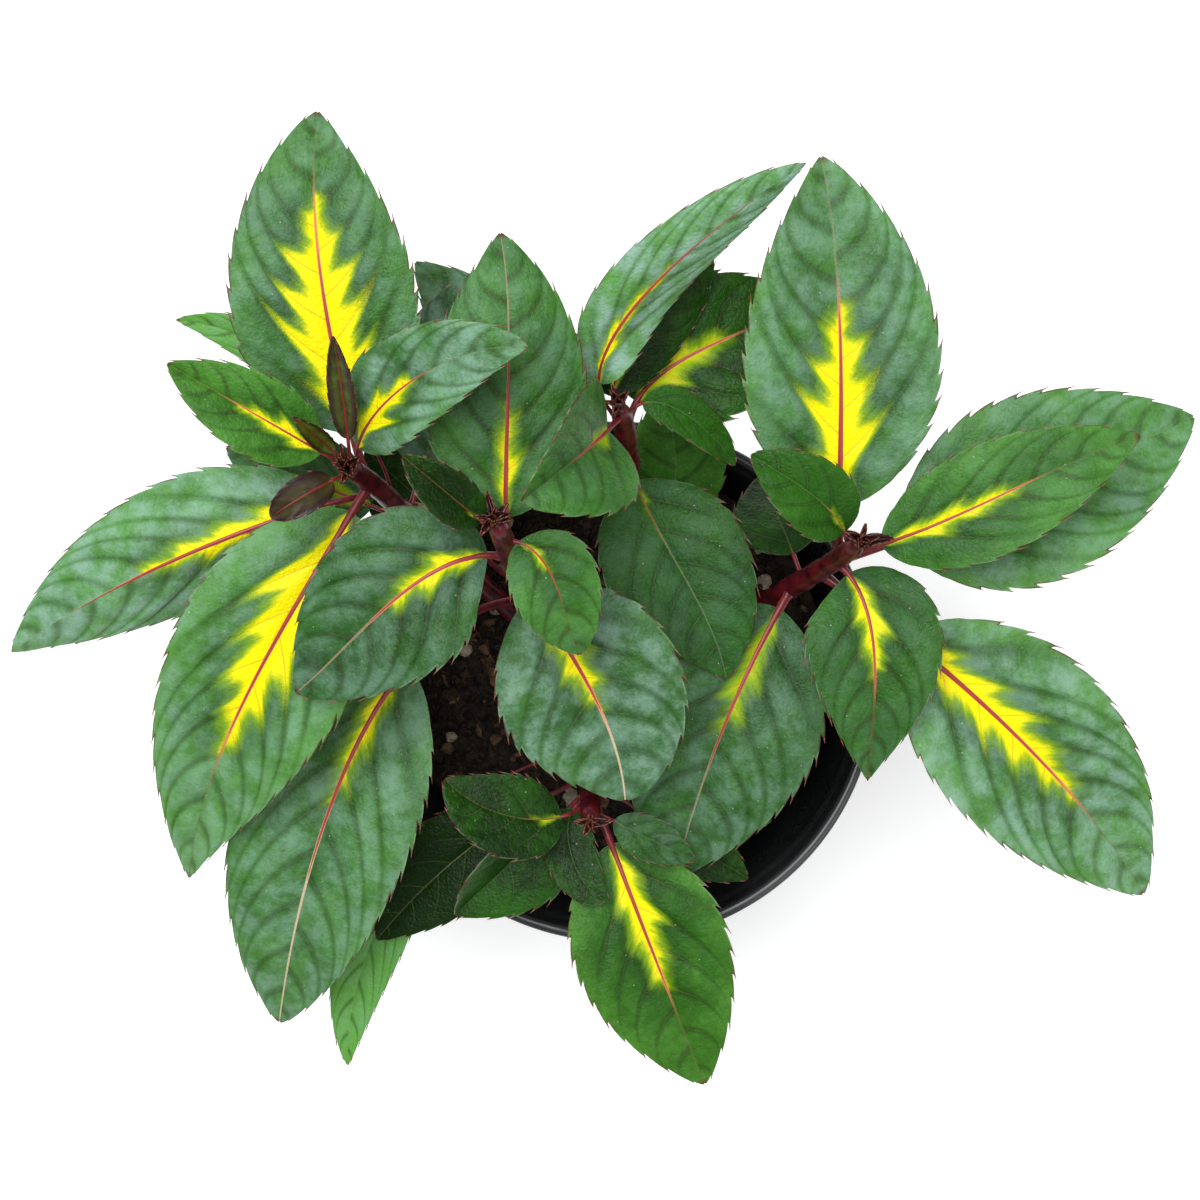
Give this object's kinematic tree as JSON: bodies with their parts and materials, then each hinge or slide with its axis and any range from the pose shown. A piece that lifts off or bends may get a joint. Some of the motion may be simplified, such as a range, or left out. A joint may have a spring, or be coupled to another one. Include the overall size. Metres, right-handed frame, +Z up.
{
  "type": "potted plant",
  "caption": "New Guinea impatiens with large variegated leaves on five red stems, growing in a round black nursery pot.",
  "frame": {"origin": "on the pot's axis, in the plane that the pot stands on", "axes": "+Z up along the pot's axis; +Y towards the back of the plant; +X towards its right-hand shoot"},
  "size_m": [0.3301, 0.2721, 0.2463],
  "materials": {
    "pot_plastic": "satin",
    "peat": "matte",
    "stem_skin": "satin",
    "leaf_blade": "satin",
    "young_leaf": "satin",
    "bud_scales": "matte"
  },
  "bodies": {
    "root": {"pot": "pot_plastic", "soil": "peat", "left_stem": "stem_skin", "left_bud": "bud_scales", "left_leaf_01": "leaf_blade", "left_leaf_02": "leaf_blade", "left_leaf_03": "leaf_blade", "left_leaf_04": "leaf_blade", "left_leaf_05": "leaf_blade", "left_leaf_06": "leaf_blade", "left_leaf_07": "leaf_blade", "left_leaf_08": "leaf_blade", "left_leaf_09": "young_leaf", "left_leaf_10": "young_leaf", "left_leaf_11": "young_leaf", "middle_stem": "stem_skin", "middle_bud": "bud_scales", "middle_leaf_01": "leaf_blade", "middle_leaf_02": "leaf_blade", "middle_leaf_03": "leaf_blade", "middle_leaf_04": "leaf_blade", "middle_leaf_05": "leaf_blade", "middle_leaf_06": "leaf_blade", "middle_leaf_07": "leaf_blade", "back_stem": "stem_skin", "back_bud": "bud_scales", "back_leaf_01": "leaf_blade", "back_leaf_02": "leaf_blade", "back_leaf_03": "leaf_blade", "back_leaf_04": "leaf_blade", "back_leaf_05": "leaf_blade", "back_leaf_06": "leaf_blade", "back_leaf_07": "leaf_blade", "back_leaf_08": "leaf_blade", "right_stem": "stem_skin", "right_bud": "bud_scales", "right_leaf_01": "leaf_blade", "right_leaf_02": "leaf_blade", "right_leaf_03": "leaf_blade", "right_leaf_04": "leaf_blade", "right_leaf_05": "leaf_blade", "right_leaf_06": "leaf_blade", "right_leaf_07": "leaf_blade", "right_leaf_08": "leaf_blade", "front_stem": "stem_skin", "front_bud": "bud_scales", "front_leaf_01": "leaf_blade", "front_leaf_02": "leaf_blade", "front_leaf_03": "leaf_blade", "front_leaf_04": "leaf_blade", "front_leaf_05": "leaf_blade", "front_leaf_06": "leaf_blade", "front_leaf_07": "leaf_blade", "front_leaf_08": "leaf_blade", "front_leaf_09": "leaf_blade"}
  },
  "joints": []
}
